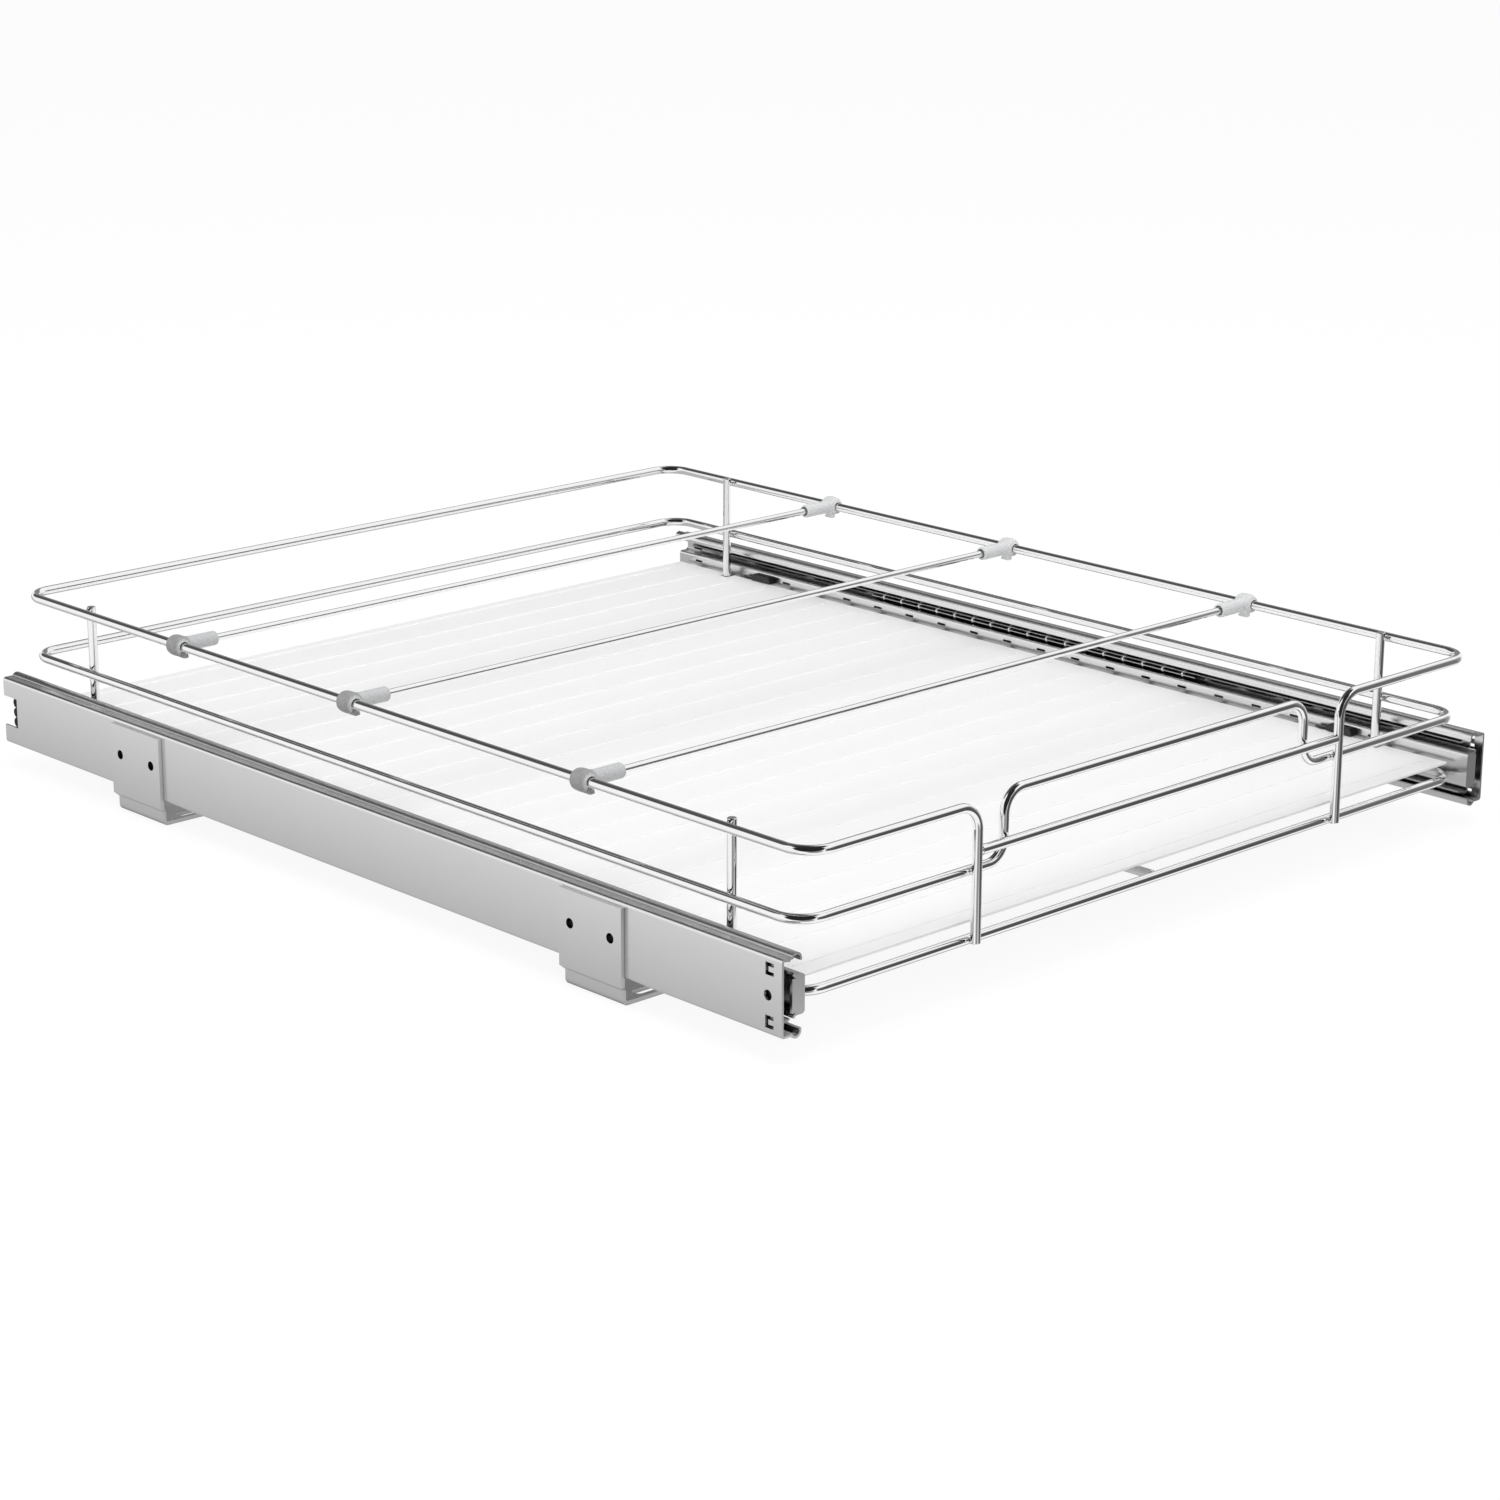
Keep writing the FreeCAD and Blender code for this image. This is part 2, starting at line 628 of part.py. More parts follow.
nodes = {}
for name, shape in left_nodes.items():
    nodes["left_" + name] = shape
    nodes["right_" + name] = mirrored(shape)
nodes["bottom_frame"] = bottom_frame()
nodes["mid_rail"] = mid_rail()
nodes["top_rail"] = top_rail()
nodes["front_bar"] = front_bar()
nodes["centre_stringer"] = centre_stringer()
nodes["cross_wires"] = cross_wires()
nodes["liner"] = liner()
for side, x in (("left", -upright_x), ("right", upright_x)):
    nodes[side + "_front_upright"] = upright(x, front_upright_y)
    nodes[side + "_rear_upright"] = upright(x, rear_upright_y)
for place, y in divider_places.items():
    nodes[place + "_divider_wire"] = divider_wire_rod(y)

os.makedirs("parts", exist_ok=True)
for name, shape in nodes.items():
    shape.exportStep("parts/" + name + ".step")
    state = "valid" if shape.isValid() else "not valid"
    print(name, len(shape.Solids), "solids", state, round(shape.Volume, 1))
print("slide height", round(slide_height, 3), "slide thickness", round(slide_thickness, 3))
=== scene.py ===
"""Dresses the pull-out cabinet basket: finishes, welds, moulded clips, studio and camera."""
import json
import math
import random

import bmesh
import bpy
from mathutils import Matrix, Vector


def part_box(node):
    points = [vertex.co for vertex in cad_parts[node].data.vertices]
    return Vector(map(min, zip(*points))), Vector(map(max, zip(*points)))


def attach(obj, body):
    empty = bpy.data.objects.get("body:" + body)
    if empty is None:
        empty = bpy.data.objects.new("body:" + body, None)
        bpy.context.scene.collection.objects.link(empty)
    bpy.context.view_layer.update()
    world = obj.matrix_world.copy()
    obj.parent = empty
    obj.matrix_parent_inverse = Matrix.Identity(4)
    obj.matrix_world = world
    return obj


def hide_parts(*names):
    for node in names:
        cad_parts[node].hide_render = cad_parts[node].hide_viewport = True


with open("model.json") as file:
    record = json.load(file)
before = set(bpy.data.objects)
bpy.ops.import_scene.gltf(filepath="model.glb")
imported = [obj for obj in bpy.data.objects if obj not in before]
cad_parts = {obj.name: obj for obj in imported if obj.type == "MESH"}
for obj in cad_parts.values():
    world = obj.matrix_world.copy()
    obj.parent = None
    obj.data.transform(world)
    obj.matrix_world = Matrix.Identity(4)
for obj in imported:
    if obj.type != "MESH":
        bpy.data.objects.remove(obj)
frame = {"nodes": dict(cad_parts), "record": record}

bl_info = {
    "name": "Pull-out cabinet basket",
    "version": (1, 0, 0),
    "blender": (4, 5, 0),
    "location": "3D View > Sidebar > Basket",
    "description": "Finishes and small parts for a chromed pull-out basket on ball-bearing slides",
    "category": "Object",
}

MM = 0.001
SIDES = ("left", "right")
PLACES = ("front", "middle", "rear")
NODES = frame["nodes"]


def linear(hex_colour):
    """A colour written as sRGB hex, turned to linear light for the shaders."""
    channels = [int(hex_colour[i:i + 2], 16) / 255 for i in (1, 3, 5)]
    straight = [c / 12.92 if c <= 0.04045 else ((c + 0.055) / 1.055) ** 2.4 for c in channels]
    return (*straight, 1.0)


def colour_setting(name, description, hex_colour):
    return bpy.props.FloatVectorProperty(name=name, description=description, subtype="COLOR", size=4,
                                         min=0.0, max=1.0, default=linear(hex_colour))


def length_setting(name, description, millimetres):
    return bpy.props.FloatProperty(name=name, description=description, unit="LENGTH", precision=5,
                                   min=0.0, default=millimetres * MM)


class FinishSettings(bpy.types.PropertyGroup):
    chrome: colour_setting("Chrome", "Mirror colour of the plated wire", "#F2F2F2")
    zinc: colour_setting("Zinc plate", "Colour of the slides and brackets", "#E8E8E9")
    cage: colour_setting("Cage strip", "Colour of the ball cages", "#B9BABC")
    ball: colour_setting("Balls", "Colour of the hardened balls", "#D8D9DA")
    liner: colour_setting("Liner", "Colour of the ribbed plastic sheet", "#FAFAFA")
    grey_nylon: colour_setting("Grey nylon", "Colour of the left clips' heads", "#9A9A9B")
    mid_nylon: colour_setting("Mid nylon", "Colour of the left clips' sleeves", "#C3C4C5")
    # Painted light: the right clips are the same nylon as the left ones, made paler as if better lit.
    lit_copy_nylon: colour_setting("Pale nylon", "Colour of the right clips", "#DCDDDE")
    black_nylon: colour_setting("Black nylon", "Colour of the basket clips", "#17181A")
    rubber: colour_setting("Rubber", "Colour of the rear stops", "#101011")


class DetailSettings(bpy.types.PropertyGroup):
    sheet_edge: length_setting("Sheet edge", "Rounding of the rolled sheet's edges", 0.26)
    bracket_edge: length_setting("Bracket edge", "Rounding of the punched and bent brackets' edges", 0.5)
    wire_edge: length_setting("Wire end", "Rounding of the cut wire ends", 0.45)
    liner_edge: length_setting("Liner edge", "Rounding of the liner and its ribs", 0.22)
    weld_size: length_setting("Weld size", "Half width of the bead where two wires meet", 1.9)
    clip_cell: length_setting("Clip cell", "Cell size of the moulded divider clips' meshes", 0.24)


class StageSettings(bpy.types.PropertyGroup):
    floor: colour_setting("Floor", "Colour of the plain floor", "#F2F2F2")
    lens: bpy.props.FloatProperty(name="Lens", description="Focal length of the camera in millimetres",
                                  default=88.2, min=10.0)
    lamp_power: bpy.props.FloatProperty(name="Lamp power", description="Power of the large overhead lamp",
                                        unit="POWER", default=38.0, min=0.0)
    sky: bpy.props.FloatProperty(name="Sky", description="Strength of the even light from all round",
                                 default=0.62, min=0.0)
    card_level: bpy.props.FloatProperty(name="Card level", default=0.085, min=0.0,
                                        description="Brightness of the grey card's dark end")


def add_node(tree, kind, settings=None, links=None):
    """Add a shader node, set its sockets or attributes, and link its inputs from other nodes' outputs."""
    made = tree.nodes.new(kind)
    for key, value in (settings or {}).items():
        if key in made.inputs:
            made.inputs[key].default_value = value
        else:
            setattr(made, key, value)
    for key, source in (links or {}).items():
        tree.links.new(source, made.inputs[key])
    return made


def new_material(name):
    made = bpy.data.materials.new(name)
    made.use_nodes = True
    made.node_tree.nodes.clear()
    return made, made.node_tree


def finish_surface(tree, shader):
    add_node(tree, "ShaderNodeOutputMaterial", links={"Surface": shader.outputs[0]})


def bright_chrome_plate():
    """Drawn steel wire, polished and bright chrome plated: a mirror that bends a little along the wire."""
    finish = bpy.context.scene.basket_finish
    made, tree = new_material("bright_chrome_plate")
    place = add_node(tree, "ShaderNodeTexCoord")
    ripple_length_mm = 6.0
    ripple = add_node(tree, "ShaderNodeTexNoise", {"Scale": 1 / (ripple_length_mm * MM), "Detail": 1.0},
                      {"Vector": place.outputs["Object"]})
    bump = add_node(tree, "ShaderNodeBump", {"Strength": 0.02, "Distance": 0.2 * MM},
                    {"Height": ripple.outputs["Fac"]})
    shader = add_node(tree, "ShaderNodeBsdfPrincipled",
                      {"Base Color": finish.chrome, "Metallic": 1.0, "Roughness": 0.05},
                      {"Normal": bump.outputs["Normal"]})
    finish_surface(tree, shader)
    return made


def rolled_steel(name, colour, roughness, line_pitch_mm, bump_strength):
    """Cold rolled strip with lines along its length, then plated; painted shade darkens it inside the
    channels and other hollows.
    """
    made, tree = new_material(name)
    place = add_node(tree, "ShaderNodeTexCoord")
    lines_per_metre = 1 / (line_pitch_mm * MM)
    length_to_width = 40
    lines_frame = add_node(tree, "ShaderNodeMapping",
                           {"Scale": (lines_per_metre, lines_per_metre / length_to_width, lines_per_metre)},
                           {"Vector": place.outputs["Object"]})
    lines = add_node(tree, "ShaderNodeTexNoise", {"Scale": 1.0, "Detail": 2.0},
                     {"Vector": lines_frame.outputs["Vector"]})
    cloud_size_mm = 14.0
    clouds = add_node(tree, "ShaderNodeTexNoise", {"Scale": 1 / (cloud_size_mm * MM), "Detail": 3.0},
                      {"Vector": place.outputs["Object"]})
    shade = add_node(tree, "ShaderNodeMapRange", {"To Min": roughness - 0.05, "To Max": roughness + 0.06},
                     {"Value": clouds.outputs["Fac"]})
    tone = add_node(tree, "ShaderNodeMapRange", {"To Min": 0.965, "To Max": 1.0},
                    {"Value": lines.outputs["Fac"]})
    # Painted shade: an ambient occlusion mask darkens the colour in the channels, holes and corners, where
    # shade falls.
    painted_shade_reach_mm = 7.0
    openness = add_node(tree, "ShaderNodeAmbientOcclusion", {"samples": 6, "Distance": painted_shade_reach_mm * MM})
    painted_hollow_shade = add_node(tree, "ShaderNodeMapRange", {"From Min": 0.15, "From Max": 0.6, "To Min": 0.22},
                      {"Value": openness.outputs["AO"]})
    painted_shade_tone = add_node(tree, "ShaderNodeMath", {"operation": "MULTIPLY"},
                            {0: tone.outputs["Result"], 1: painted_hollow_shade.outputs["Result"]})
    tint = add_node(tree, "ShaderNodeMix", {"data_type": "RGBA", "blend_type": "MULTIPLY", "Factor": 1.0})
    tint.inputs["A"].default_value = colour
    tree.links.new(painted_shade_tone.outputs["Value"], tint.inputs["B"])
    bump = add_node(tree, "ShaderNodeBump", {"Strength": bump_strength, "Distance": 0.05 * MM},
                    {"Height": lines.outputs["Fac"]})
    shader = add_node(tree, "ShaderNodeBsdfPrincipled", {"Metallic": 1.0},
                      {"Base Color": tint.outputs["Result"], "Roughness": shade.outputs["Result"],
                       "Normal": bump.outputs["Normal"]})
    finish_surface(tree, shader)
    return made


def lapped_ball_steel():
    """Ground and lapped bearing steel: bright, with soft reflections."""
    made, tree = new_material("lapped_ball_steel")
    place = add_node(tree, "ShaderNodeTexCoord")
    lapping_mm = 0.5
    marks = add_node(tree, "ShaderNodeTexNoise", {"Scale": 1 / (lapping_mm * MM), "Detail": 2.0},
                     {"Vector": place.outputs["Object"]})
    shade = add_node(tree, "ShaderNodeMapRange", {"To Min": 0.08, "To Max": 0.18},
                     {"Value": marks.outputs["Fac"]})
    shader = add_node(tree, "ShaderNodeBsdfPrincipled",
                      {"Base Color": bpy.context.scene.basket_finish.ball, "Metallic": 1.0},
                      {"Roughness": shade.outputs["Result"]})
    finish_surface(tree, shader)
    return made


def milky_polypropylene():
    """Extruded milky polypropylene: pale, slightly cloudy, and soft enough to let the wires show through."""
    made, tree = new_material("extruded_milky_polypropylene")
    place = add_node(tree, "ShaderNodeTexCoord")
    grain_mm = 0.9
    grain = add_node(tree, "ShaderNodeTexNoise", {"Scale": 1 / (grain_mm * MM), "Detail": 2.0},
                     {"Vector": place.outputs["Object"]})
    bump = add_node(tree, "ShaderNodeBump", {"Strength": 0.05, "Distance": 0.1 * MM},
                    {"Height": grain.outputs["Fac"]})
    shade = add_node(tree, "ShaderNodeMapRange", {"To Min": 0.32, "To Max": 0.44},
                     {"Value": grain.outputs["Fac"]})
    shader = add_node(tree, "ShaderNodeBsdfPrincipled",
                      {"Base Color": bpy.context.scene.basket_finish.liner, "IOR": 1.49, "Alpha": 0.9,
                       "Subsurface Weight": 0.15, "Subsurface Scale": 1.0 * MM,
                       "Subsurface Radius": (1.0, 1.0, 1.0)},
                      {"Normal": bump.outputs["Normal"], "Roughness": shade.outputs["Result"]})
    finish_surface(tree, shader)
    return made


def two_shades(tree, place, colour, end_colour):
    """The left clips' colours: a grey head, with its front collar and the sleeve a shade paler."""
    head_end_mm, sleeve_start_mm = 4.0, 4.8
    collar_rear_mm, collar_front_mm = -3.9, -4.15
    parts = add_node(tree, "ShaderNodeSeparateXYZ", None, {"Vector": place.outputs["Object"]})
    sleeve = add_node(tree, "ShaderNodeMapRange",
                      {"From Min": head_end_mm * MM, "From Max": sleeve_start_mm * MM},
                      {"Value": parts.outputs["X"]})
    collar = add_node(tree, "ShaderNodeMapRange",
                      {"From Min": collar_rear_mm * MM, "From Max": collar_front_mm * MM},
                      {"Value": parts.outputs["Y"]})
    paler = add_node(tree, "ShaderNodeMath", {"operation": "MAXIMUM"},
                     {0: sleeve.outputs["Result"], 1: collar.outputs["Result"]})
    shades = add_node(tree, "ShaderNodeMix", {"data_type": "RGBA"}, {"Factor": paler.outputs["Value"]})
    shades.inputs["A"].default_value = colour
    shades.inputs["B"].default_value = end_colour
    return shades


def moulded_plastic(name, colour, roughness, grain_mm, bump_strength, end_colour=None):
    """Injection moulded nylon with the spark-eroded grain of its mould, lightly speckled."""
    made, tree = new_material(name)
    place = add_node(tree, "ShaderNodeTexCoord")
    grain = add_node(tree, "ShaderNodeTexNoise", {"Scale": 1 / (grain_mm * MM), "Detail": 3.0},
                     {"Vector": place.outputs["Object"]})
    shade = add_node(tree, "ShaderNodeMapRange", {"To Min": roughness - 0.06, "To Max": roughness + 0.06},
                     {"Value": grain.outputs["Fac"]})
    bump = add_node(tree, "ShaderNodeBump", {"Strength": bump_strength, "Distance": 0.08 * MM},
                    {"Height": grain.outputs["Fac"]})
    speckle = add_node(tree, "ShaderNodeMapRange", {"From Min": 0.35, "From Max": 0.65, "To Min": 0.8},
                       {"Value": grain.outputs["Fac"]})
    tint = add_node(tree, "ShaderNodeMix", {"data_type": "RGBA", "blend_type": "MULTIPLY", "Factor": 1.0})
    tint.inputs["A"].default_value = colour
    if end_colour:
        tree.links.new(two_shades(tree, place, colour, end_colour).outputs["Result"], tint.inputs["A"])
    tree.links.new(speckle.outputs["Result"], tint.inputs["B"])
    shader = add_node(tree, "ShaderNodeBsdfPrincipled", {"IOR": 1.53},
                      {"Base Color": tint.outputs["Result"], "Roughness": shade.outputs["Result"],
                       "Normal": bump.outputs["Normal"]})
    finish_surface(tree, shader)
    return made


MADE = {}


def material_of(slot_name):
    """The finish that stands for one of the record's material slots, made once. The right clips' nylon is a
    paler, lit copy of the same grey nylon, which is painted light; it has no slot of its own in the record."""
    finish = bpy.context.scene.basket_finish
    makers = {
        "chromed_wire": bright_chrome_plate,
        "zinc_plated_steel": lambda: rolled_steel("zinc_plated_rolled_steel", finish.zinc, 0.24, 0.5, 0.12),
        "cage_steel": lambda: rolled_steel("bright_pressed_cage_strip", finish.cage, 0.28, 0.4, 0.05),
        "ball_steel": lapped_ball_steel,
        "liner_plastic": milky_polypropylene,
        "grey_nylon": lambda: moulded_plastic("moulded_grey_nylon", finish.grey_nylon, 0.46, 0.8, 0.5,
                                              finish.mid_nylon),
        # The right clips' paler, lit copy of the grey nylon: painted light.
        "lit_copy_nylon": lambda: moulded_plastic("moulded_lit_copy_nylon", finish.lit_copy_nylon, 0.36, 0.6, 0.2),
        "black_nylon": lambda: moulded_plastic("moulded_black_nylon", finish.black_nylon, 0.4, 0.35, 0.2),
        "stop_rubber": lambda: moulded_plastic("moulded_stop_rubber", finish.rubber, 0.75, 0.5, 0.3),
    }
    if slot_name not in MADE:
        MADE[slot_name] = makers[slot_name]()
    return MADE[slot_name]


def slot_of(node_name):
    for row in frame["record"]["subparts"]:
        if row["node"] == node_name:
            return row["material_slot"]
    raise ValueError("no material slot for " + node_name)


EDGE_ANGLE = math.radians(32.0)    # between two faces, from which their edge is rounded
SAME_PLACE = 0.002 * MM            # corners nearer than this are one
FLAT_ANGLE = math.radians(1)       # faces that turn less than this are one


def dress(node_name, edge=0.0):
    """Give a CAD node its finish and, where asked, rounded edges by modifiers that leave its mesh alone."""
    piece = NODES[node_name]
    finish = material_of(slot_of(node_name))
    for slot in piece.material_slots:
        slot.material = finish
    if edge > 0:
        weld = piece.modifiers.new("join_faces", "WELD")
        weld.merge_threshold = SAME_PLACE
        whole = piece.modifiers.new("whole_faces", "DECIMATE")
        whole.decimate_type = "DISSOLVE"
        whole.angle_limit = FLAT_ANGLE
        bevel = piece.modifiers.new("soft_edges", "BEVEL")
        bevel.width = edge
        bevel.segments = 2
        bevel.limit_method = "ANGLE"
        bevel.angle_limit = EDGE_ANGLE
        bevel.harden_normals = True
        even = piece.modifiers.new("even_shading", "WEIGHTED_NORMAL")
        even.keep_sharp = True
        even.weight = 100


def mesh_piece(name, verts, faces, slot_name, body):
    mesh = bpy.data.meshes.new(name)
    mesh.from_pydata(verts, [], faces)
    mesh.update()
    mesh.shade_smooth()
    piece = bpy.data.objects.new(name, mesh)
    bpy.context.scene.collection.objects.link(piece)
    mesh.materials.append(material_of(slot_name))
    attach(piece, body)


class BASKET_OT_slides(bpy.types.Operator):
    """Finish the slide members, cages, balls, rear stops and brackets"""
    bl_idname = "basket.slides"
    bl_label = "Slides and brackets"

    def execute(self, context):
        edge = context.scene.basket_detail.sheet_edge
        for side in SIDES:
            for name in ("outer_member", "middle_member", "inner_member"):
                dress(side + "_" + name, edge)
            for name in ("front_bracket", "rear_bracket"):
                dress(side + "_" + name, context.scene.basket_detail.bracket_edge)
            for row in ("outer", "inner"):
                dress(side + "_" + row + "_ball_cage")
                dress(side + "_" + row + "_balls")
            dress(side + "_rear_stop", edge)
        return {"FINISHED"}


def middle_of(node_name):
    low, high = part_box(node_name)
    return (low + high) / 2


def bead_verts(place, across, along, flat, size):
    """A squeezed resistance weld: a lens between two wires, a little uneven, with its place as the seed."""
    rings, steps = 6, 10
    unevenness = 0.07
    height_share = 0.8
    seed_steps_per_metre = 10000
    chance = random.Random(round((place.x + 2 * place.y + 5 * place.z) * seed_steps_per_metre))
    verts = []
    for ring in range(rings + 1):
        tilt = math.pi * ring / rings
        for step in range(steps):
            turn = 2 * math.pi * step / steps
            swell = size * (1 + chance.uniform(-unevenness, unevenness))
            spread = math.sin(tilt) * swell
            verts.append(place + across * (spread * math.cos(turn)) + along * (spread * math.sin(turn))
                         + flat * (math.cos(tilt) * swell * height_share))
    faces = []
    for ring in range(rings):
        for step in range(steps):
            after = (step + 1) % steps
            faces.append((ring * steps + step, ring * steps + after,
                          (ring + 1) * steps + after, (ring + 1) * steps + step))
    return verts, faces


X_WAY, Y_WAY, Z_WAY = Vector((1, 0, 0)), Vector((0, 1, 0)), Vector((0, 0, 1))
RAISED_LEG_X = 99.0 * MM          # from the middle to each leg of the mid rail's raised part
POST_WELD_SET = 0.35              # how far in front of the frame's wire a post's foot is welded, in radii
CROSS_WELD_SHARE = 0.75           # of the other beads' size, where the thin cross wires lie


def weld_places():
    """Each weld's middle with the way in which it is squeezed flat."""
    top_low, top_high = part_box("top_rail")
    mid_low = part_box("mid_rail")[0]
    bar_low, bar_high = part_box("front_bar")
    wire = bar_high.z - bar_low.z
    radius = wire / 2
    top_z, bottom_z = top_high.z - radius, middle_of("bottom_frame").z
    mid_z, bar_z = mid_low.z + radius, middle_of("front_bar").z
    front_gap_y = top_low.y + wire
    places = []
    for side, sign in (("left", -1), ("right", 1)):
        for end in ("front", "rear"):
            upright = middle_of(side + "_" + end + "_upright")
            for z in (top_z, mid_z, bottom_z):
                places.append((Vector((upright.x + sign * radius, upright.y, z)), X_WAY))
        post_x = sign * (bar_high.x + radius)
        places.append((Vector((post_x, front_gap_y, mid_z)), Y_WAY))
        places.append((Vector((post_x, front_gap_y - POST_WELD_SET * radius, bottom_z)), Z_WAY))
        places.append((Vector((sign * bar_high.x, top_low.y + radius, bar_z)), X_WAY))
        places.append((Vector((sign * RAISED_LEG_X, front_gap_y, bar_z)), Y_WAY))
    stringer_low, stringer_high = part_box("centre_stringer")
    for y in (stringer_low.y, stringer_high.y):
        places.append((Vector((0, y, bottom_z)), Y_WAY))
    return places


def cross_weld_places():
    """Where the thin cross wires lie on the bottom frame and on the stringer."""
    frame_low, frame_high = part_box("bottom_frame")
    radius = (frame_high.z - frame_low.z) / 2
    places = []
    for y in cross_wire_rows():
        for x in (frame_low.x + radius, 0, frame_high.x - radius):
            places.append(Vector((x, y, frame_high.z)))
    return places


def cross_wire_rows():
    """Each cross wire's middle along Y: the corners of their mesh, in steps of half a millimetre, fall into
    one group per wire."""
    steps_per_metre = 2000
    steps_between_wires = 8
    steps = sorted({round(v.co.y * steps_per_metre) for v in NODES["cross_wires"].data.vertices})
    rows, group = [], [steps[0]]
    for step in steps[1:]:
        if step - group[-1] > steps_between_wires:
            rows.append((group[0] + group[-1]) / 2)
            group = []
        group.append(step)
    rows.append((group[0] + group[-1]) / 2)
    return [row / steps_per_metre for row in rows]


class BASKET_OT_wires(bpy.types.Operator):
    """Finish the chromed wires and add the weld beads where they meet"""
    bl_idname = "basket.wires"
    bl_label = "Wires and welds"

    def execute(self, context):
        detail = context.scene.basket_detail
        for name in ("bottom_frame", "mid_rail", "front_bar", "centre_stringer", "cross_wires"):
            dress(name)
        dress("top_rail", detail.wire_edge)
        for side in SIDES:
            for end in ("front", "rear"):
                dress(side + "_" + end + "_upright", detail.wire_edge)
        for place in PLACES:
            dress(place + "_divider_wire")
        verts, faces = [], []
        beads = [(place, flat, detail.weld_size) for place, flat in weld_places()]
        beads += [(place, Z_WAY, detail.weld_size * CROSS_WELD_SHARE) for place in cross_weld_places()]
        for place, flat, size in beads:
            across = X_WAY if abs(flat.x) < 0.5 else Y_WAY
            made, rows = bead_verts(place, across, flat.cross(across), flat, size)
            first = len(verts)
            verts += made
            faces += [tuple(index + first for index in face) for face in rows]
        mesh_piece("weld_beads", verts, faces, "chromed_wire", "basket")
        return {"FINISHED"}


class BASKET_OT_liner(bpy.types.Operator):
    """Finish the ribbed plastic liner"""
    bl_idname = "basket.liner"
    bl_label = "Liner"

    def execute(self, context):
        dress("liner", context.scene.basket_detail.liner_edge)
        return {"FINISHED"}


def turned(profile, axis, steps=48):
    """A closed shape turned about Y or X through the rail's middle, from (place, radius) in millimetres."""
    verts, faces = [], []
    for place, radius in profile:
        for step in range(steps):
            turn = 2 * math.pi * step / steps
            a, b = radius * math.cos(turn), radius * math.sin(turn)
            verts.append((a, place, b) if axis == "Y" else (place, a, b))
    for row in range(len(profile) - 1):
        for step in range(steps):
            after = (step + 1) % steps
            faces.append((row * steps + step, row * steps + after,
                          (row + 1) * steps + after, (row + 1) * steps + step))
    faces.append(tuple(range(steps)))
    faces.append(tuple(range((len(profile) - 1) * steps, len(profile) * steps)))
    return verts, faces


def pushed(outline, low, high, axis):
    """A closed shape from an outline in millimetres, pushed from low to high along X, Y or Z."""
    count = len(outline)
    verts = []
    for level in (low, high):
        for a, b in outline:
            verts.append({"X": (level, a, b), "Y": (a, level, b), "Z": (a, b, level)}[axis])
    faces = [(i, (i + 1) % count, count + (i + 1) % count, count + i) for i in range(count)]
    faces.append(tuple(range(count)))
    faces.append(tuple(range(count, 2 * count)))
    return verts, faces


def scratch_object(name, shapes):
    """One object out of closed shapes in millimetres, with every face turned outwards."""
    mesh = bpy.data.meshes.new(name)
    work = bmesh.new()
    for verts, faces in shapes:
        points = [work.verts.new(Vector(v) * MM) for v in verts]
        for face in faces:
            work.faces.new([points[i] for i in face])
    bmesh.ops.recalc_face_normals(work, faces=work.faces)
    work.to_mesh(mesh)
    work.free()
    thing = bpy.data.objects.new(name, mesh)
    bpy.context.scene.collection.objects.link(thing)
    return thing


def baked_mesh(thing, name):
    """The mesh that an object's modifiers give."""
    bpy.context.view_layer.update()
    made = bpy.data.meshes.new_from_object(thing.evaluated_get(bpy.context.evaluated_depsgraph_get()))
    made.name = name
    return made


def mirror(mesh):
    """Turn a left piece's mesh into the right one's."""
    mesh.transform(Matrix.Scale(-1, 4, X_WAY))
    mesh.flip_normals()


# The divider clip, in millimetres from the rail's middle: X towards the basket's middle, Y to the rear.
# The head and the rail's bore are (y, radius), the sleeve and the wire's socket are (x, radius), and the
# neck's outline is (y, z), the mouth's (x, z).
CLIP_HEAD = [(-5.0, 2.2), (-5.0, 2.9), (-4.8, 3.15), (-4.2, 3.2), (-4.15, 3.95), (-3.9, 4.2), (-3.3, 4.35),
             (-3.0, 4.75), (-2.2, 5.0), (0.0, 5.1), (2.2, 5.0), (3.5, 4.7), (4.4, 4.1), (4.9, 3.2),
             (5.0, 2.2)]
CLIP_BORE = [(-9.0, 2.45), (9.0, 2.45)]
CLIP_SLEEVE = [(0.5, 3.0), (4.6, 3.75), (6.4, 3.5), (20.2, 3.5), (20.8, 3.35), (21.15, 2.95), (21.2, 2.2)]
CLIP_SOCKET = [(2.0, 1.8), (18.6, 1.8), (18.7, 2.3), (22.0, 2.5)]
CLIP_NECK = [(-2.9, -6.1), (-3.6, -5.7), (-3.6, -4.9), (-3.1, -4.2), (-3.0, -2.5), (0.6, -2.5), (0.7, -4.2),
             (1.6, -4.8), (2.3, -5.2), (2.2, -5.8), (1.6, -6.1)]
CLIP_NECK_ENDS = (0.9, 3.3)
CLIP_MOUTH = [(-1.9, -7.0), (0.6, -7.0), (1.2, -1.0), (-1.9, -1.0)]
CLIP_MOUTH_ENDS = (-9.0, 9.0)


